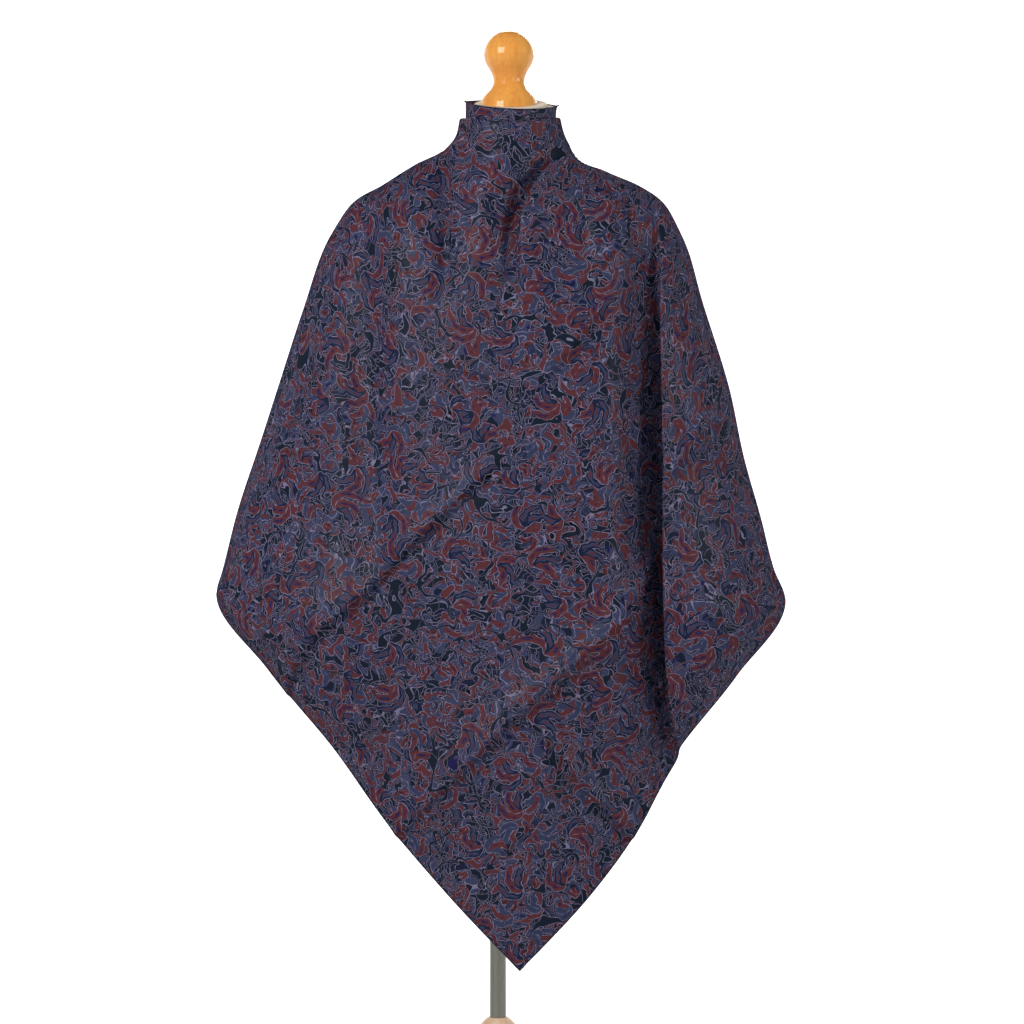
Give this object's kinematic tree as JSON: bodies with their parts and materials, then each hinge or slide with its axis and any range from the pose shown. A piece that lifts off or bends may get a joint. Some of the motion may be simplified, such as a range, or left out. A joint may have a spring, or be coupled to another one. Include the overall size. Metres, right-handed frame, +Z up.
{
  "type": "silk scarf on dress form",
  "caption": "Square silk twill scarf hung as a diamond round the neck and over the shoulders of a limbless dress form on a turned wooden tripod stand.",
  "frame": {"origin": "on the floor, below the middle of the whole part's box", "axes": "+Z up, -Y towards the viewer of the scarf's front, +X to that viewer's right"},
  "size_m": [0.7156, 0.4135, 1.5617],
  "materials": {
    "silk": "printed silk twill with a soft sheen",
    "jersey": "matt cream jersey",
    "turned_wood": "honey varnish",
    "pale_wood": "clear satin varnish",
    "steel": "polished tube"
  },
  "bodies": {
    "root": {"scarf_main_fall": "silk", "scarf_neck_band": "silk", "form_torso": "jersey", "form_neck_cap": "jersey", "form_finial": "turned_wood", "stand_pole": "steel", "stand_hub": "pale_wood", "stand_leg_1": "pale_wood", "stand_leg_2": "pale_wood", "stand_leg_3": "pale_wood"}
  },
  "joints": []
}
